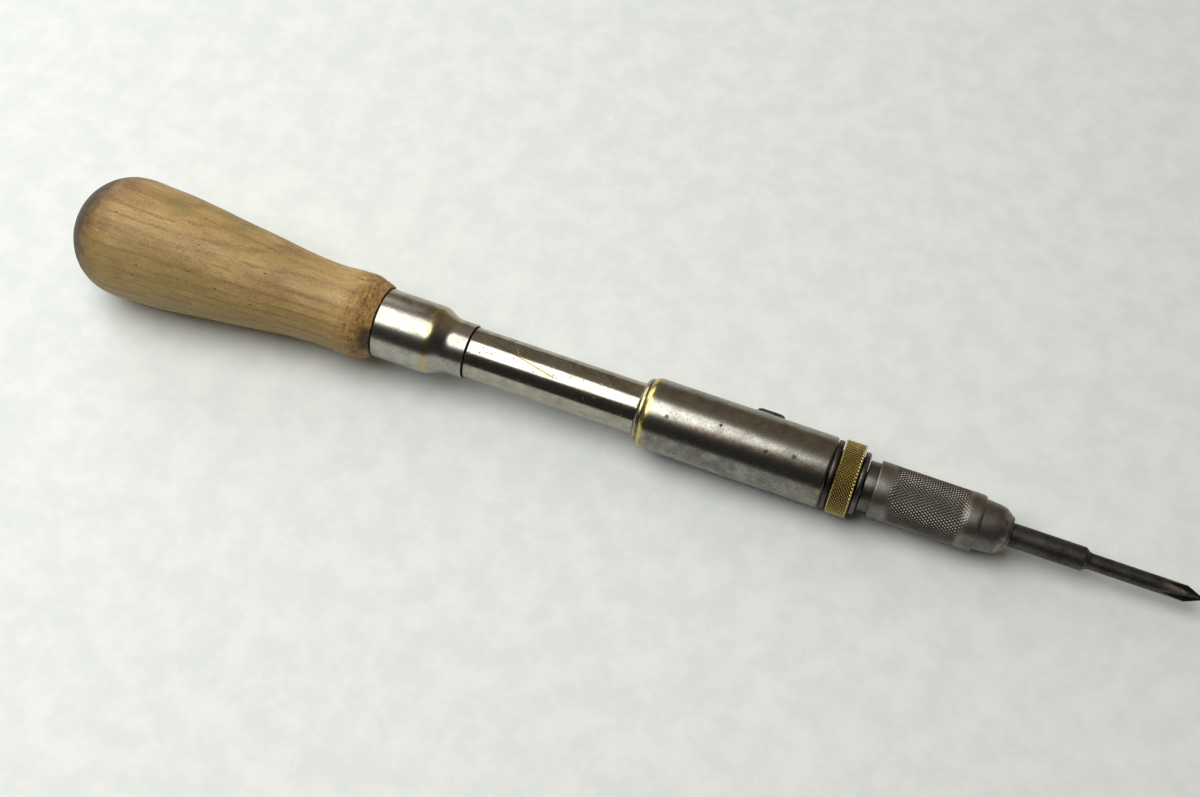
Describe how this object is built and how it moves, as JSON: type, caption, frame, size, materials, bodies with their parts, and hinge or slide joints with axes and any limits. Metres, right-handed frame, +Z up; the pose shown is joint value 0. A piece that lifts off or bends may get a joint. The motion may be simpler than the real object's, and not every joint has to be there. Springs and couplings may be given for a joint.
{
  "type": "spiral ratchet screwdriver",
  "caption": "Push screwdriver: pressing the wooden handle slides a grooved spindle through ratchet nuts and turns the bit; quick-release chuck and direction selector.",
  "frame": {"origin": "on the bench under the middle of the tool's bounding box", "axes": "+Z up; the tool lies along +X from the handle's butt to the bit's tip, its axis sloping 1.9 degrees down towards the bit; the selector button faces +Y"},
  "size_m": [0.357, 0.0382, 0.0382],
  "materials": {
    "handle_wood": "worn oiled hardwood with dirt in the grain",
    "nickel_plate": "old nickel plate, worn and pitted",
    "brass": "dull tarnished brass",
    "dark_steel": "oil-blackened steel",
    "gunmetal_steel": "worn grey steel",
    "spring_steel": "drawn spring wire",
    "hardened_steel": "ground hardened steel",
    "bit_steel": "black-oxide tool steel, rubbed bright on the edges"
  },
  "bodies": {
    "tool_body": {"handle": "handle_wood", "ferrule": "nickel_plate", "barrel_tube": "nickel_plate", "tube_plug": "dark_steel", "return_spring": "spring_steel", "ratchet_housing": "nickel_plate", "ratchet_frame": "dark_steel", "rear_thrust_washer": "hardened_steel", "middle_thrust_washer": "hardened_steel", "drive_pawl_pin": "hardened_steel", "idle_pawl_pin": "hardened_steel", "drive_pawl_spring": "spring_steel", "idle_pawl_spring": "spring_steel", "front_bushing": "dark_steel", "retaining_collar": "dark_steel"},
    "drive_nut": {"drive_nut": "hardened_steel"},
    "idle_nut": {"idle_nut": "hardened_steel"},
    "plunger": {"spring_plunger": "brass"},
    "spindle": {"spindle": "gunmetal_steel", "chuck_body": "dark_steel", "chuck_pin": "hardened_steel", "chuck_spring": "spring_steel", "nose_cap": "nickel_plate"},
    "drive_pawl": {"drive_pawl": "hardened_steel"},
    "idle_pawl": {"idle_pawl": "hardened_steel"},
    "selector": {"selector_button": "nickel_plate", "selector_plate": "dark_steel"},
    "lock_ring": {"lock_ring": "brass", "lock_clip": "spring_steel"},
    "chuck_sleeve": {"chuck_sleeve": "gunmetal_steel"},
    "chuck_ball": {"chuck_ball": "hardened_steel"},
    "bit": {"phillips_bit": "bit_steel"}
  },
  "joints": [
    {"name": "ratchet_turn", "type": "hinge", "parent": "tool_body", "child": "drive_nut", "pos_m": [0.03662, 0, 0.01256], "axis": [0.9994, 0, -0.0333], "continuous": true},
    {"name": "spindle_slide", "type": "slide", "parent": "drive_nut", "child": "plunger", "axis": [0.9994, 0, -0.0333], "range_m": [0, 0.09], "deforming": ["return_spring"]},
    {"name": "spindle_spin", "type": "hinge", "parent": "plunger", "child": "spindle", "pos_m": [0.03662, 0, 0.01256], "axis": [0.9994, 0, -0.0333], "range_deg": [-900, 0]},
    {"name": "idle_nut_spin", "type": "hinge", "parent": "drive_nut", "child": "idle_nut", "pos_m": [0.03662, 0, 0.01256], "axis": [0.9994, 0, -0.0333], "range_deg": [-1800, 0]},
    {"name": "selector_slide", "type": "slide", "parent": "tool_body", "child": "selector", "axis": [0.9994, 0, -0.0333], "range_m": [-0.005, 0]},
    {"name": "drive_pawl_lift", "type": "hinge", "parent": "tool_body", "child": "drive_pawl", "pos_m": [0.03831, 0.00559, 0.01809], "axis": [0.9994, 0, -0.0333], "range_deg": [-9, 0]},
    {"name": "idle_pawl_drop", "type": "hinge", "parent": "tool_body", "child": "idle_pawl", "pos_m": [0.05243, 0.00559, 0.00644], "axis": [0.9994, 0, -0.0333], "range_deg": [-8, 0]},
    {"name": "lock_ring_turn", "type": "hinge", "parent": "tool_body", "child": "lock_ring", "pos_m": [0.073, 0, 0.01135], "axis": [0.9994, 0, -0.0333], "range_deg": [0, 60]},
    {"name": "chuck_sleeve_slide", "type": "slide", "parent": "spindle", "child": "chuck_sleeve", "axis": [-0.9994, 0, 0.0333], "range_m": [0, 0.003], "stiffness_N_per_m": 1000, "springref_m": -0.003, "deforming": ["chuck_spring"]},
    {"name": "chuck_ball_lift", "type": "slide", "parent": "spindle", "child": "chuck_ball", "axis": [0.0333, 0, 0.9994], "range_m": [0, 0.0007]},
    {"name": "bit_pull", "type": "slide", "parent": "spindle", "child": "bit", "axis": [0.9994, 0, -0.0333], "range_m": [0, 0.035]}
  ],
  "couplings": [
    {"joint": "spindle_spin", "follows": "spindle_slide", "rad_per_m": -174.53},
    {"joint": "idle_nut_spin", "follows": "spindle_slide", "rad_per_m": -349.07},
    {"joint": "drive_pawl_lift", "follows": "selector_slide", "rad_per_m": 31.416},
    {"joint": "idle_pawl_drop", "follows": "selector_slide", "rad_per_m": 27.925},
    {"joint": "chuck_ball_lift", "follows": "chuck_sleeve_slide", "ratio": 0.2333}
  ]
}
